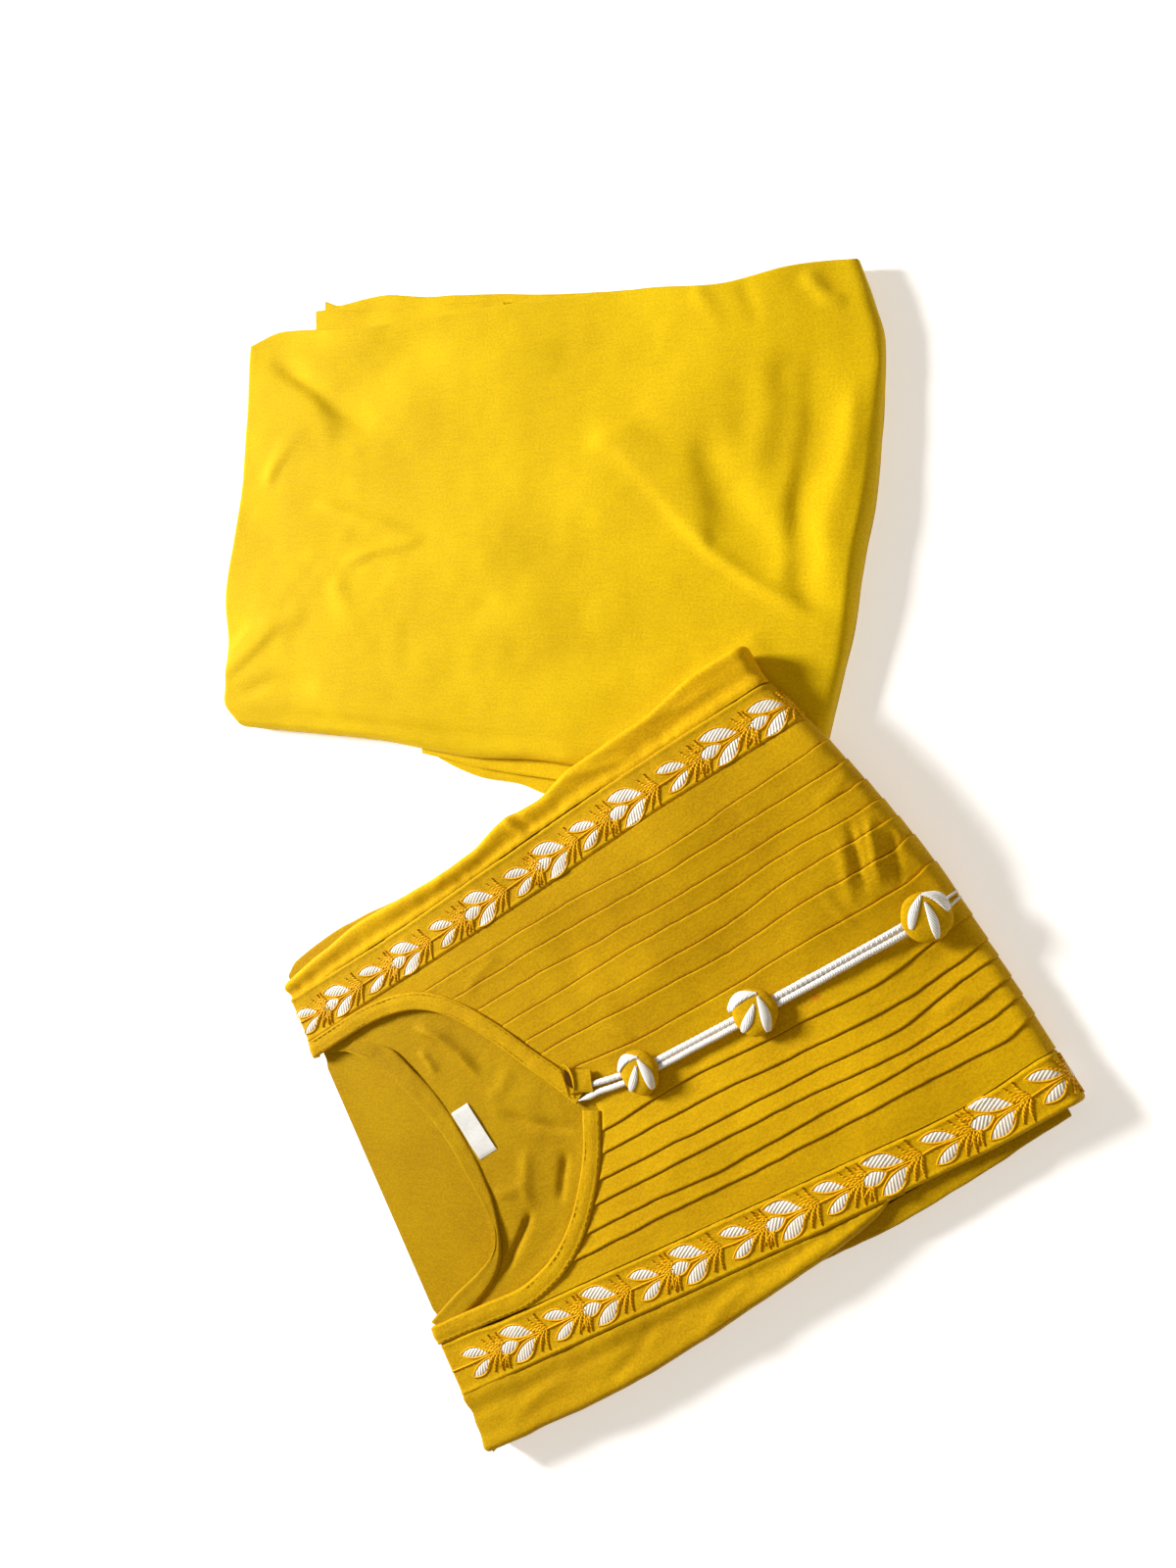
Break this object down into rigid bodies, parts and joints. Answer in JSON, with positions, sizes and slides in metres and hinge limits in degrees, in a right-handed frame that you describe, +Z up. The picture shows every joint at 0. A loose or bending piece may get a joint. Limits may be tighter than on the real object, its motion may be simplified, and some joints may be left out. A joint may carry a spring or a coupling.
{
  "type": "kurta pant set",
  "caption": "Kurta with a pin-tucked front, embroidered borders and covered buttons, folded flat, its corner lying on the folded pant of the same set.",
  "frame": {"origin": "centre of the bounding box at the surface that both packets lie on", "axes": "+Z up from that surface, +Y from the kurta towards the pant, up the picture, +X to the picture's right"},
  "size_m": [0.4436, 0.5999, 0.0286],
  "materials": {
    "kurta_cloth": "fine matt weave, golden mustard",
    "kurta_border": "fine matt weave with raised pale leaf embroidery",
    "kurta_button": "fine weave drawn over a dome, with satin stitched petals",
    "kurta_cord": "twisted silky cord",
    "kurta_label": "smooth woven tape",
    "pant_cloth": "slub weave with a soft sheen, lemon yellow"
  },
  "bodies": {
    "root": {"kurta_folded_layers": "kurta_cloth", "kurta_back_panel": "kurta_cloth", "kurta_back_neck_facing": "kurta_cloth", "kurta_front_tucks_upper": "kurta_cloth", "kurta_front_tucks_lower": "kurta_cloth", "kurta_side_upper": "kurta_cloth", "kurta_side_lower": "kurta_cloth", "kurta_neck_facing_upper": "kurta_cloth", "kurta_neck_facing_lower": "kurta_cloth", "kurta_neck_tab": "kurta_cloth", "kurta_sleeve_upper": "kurta_cloth", "kurta_sleeve_lower": "kurta_cloth", "kurta_border_upper": "kurta_border", "kurta_border_lower": "kurta_border", "kurta_button_1": "kurta_button", "kurta_button_2": "kurta_button", "kurta_button_3": "kurta_button", "kurta_cord_upper": "kurta_cord", "kurta_cord_lower": "kurta_cord", "kurta_label": "kurta_label", "pant_folded_layers": "pant_cloth", "pant_upper_leg": "pant_cloth", "pant_under_leg_hem_front": "pant_cloth", "pant_under_leg_hem_back": "pant_cloth", "pant_lower_layer_front": "pant_cloth", "pant_lower_layer_back": "pant_cloth"}
  },
  "joints": []
}
